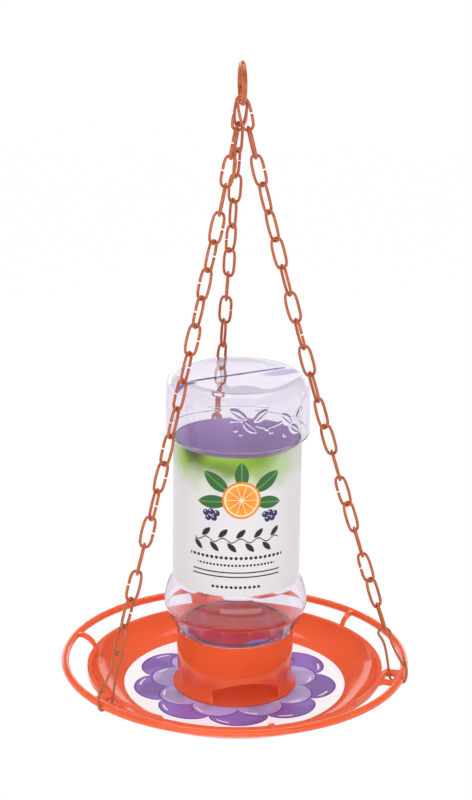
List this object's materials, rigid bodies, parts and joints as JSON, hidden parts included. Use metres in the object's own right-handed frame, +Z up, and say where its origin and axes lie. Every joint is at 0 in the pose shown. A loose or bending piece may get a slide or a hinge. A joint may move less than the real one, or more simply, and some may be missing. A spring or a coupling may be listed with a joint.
{
  "type": "oriole feeder",
  "caption": "Hanging bird feeder: a round orange dish with a perch ring and a printed card, an inverted clear jar on a windowed base, and chains that meet at a hanging ring.",
  "frame": {"origin": "centre of the tray's foot ring, in the plane it stands on", "axes": "+Z up through the jar towards the hanging ring; +Y towards the back chain, so -Y is the side between the other two chains"},
  "size_m": [0.23, 0.2329, 0.4231],
  "materials": {
    "orange_plastic": "gloss",
    "printed_card": "satin",
    "clear_plastic": "gloss",
    "label_film": "satin",
    "painted_wire": "gloss"
  },
  "bodies": {
    "hanger": {"hanging_ring": "painted_wire"},
    "feeder": {"tray": "orange_plastic", "insert_card": "printed_card", "right_chain": "painted_wire", "left_chain": "painted_wire", "back_chain": "painted_wire", "right_clip": "painted_wire", "left_clip": "painted_wire", "back_clip": "painted_wire"},
    "base": {"feeding_base": "orange_plastic"},
    "bottle": {"jar": "clear_plastic", "jar_label": "label_film"}
  },
  "joints": [
    {"name": "hanger_swing", "type": "hinge", "parent": "hanger", "child": "feeder", "pos_m": [0, 0, 0.3967], "axis": [0.1045, 0.9945, 0], "range_deg": [-20, 20]},
    {"name": "base_twist", "type": "hinge", "parent": "feeder", "child": "base", "pos_m": [0, 0, 0.0067], "axis": [0, 0, 1], "range_deg": [0, 30]},
    {"name": "bottle_unscrew", "type": "hinge", "parent": "base", "child": "bottle", "pos_m": [0, 0, 0.03], "axis": [0, 0, 1], "range_deg": [0, 90]}
  ]
}
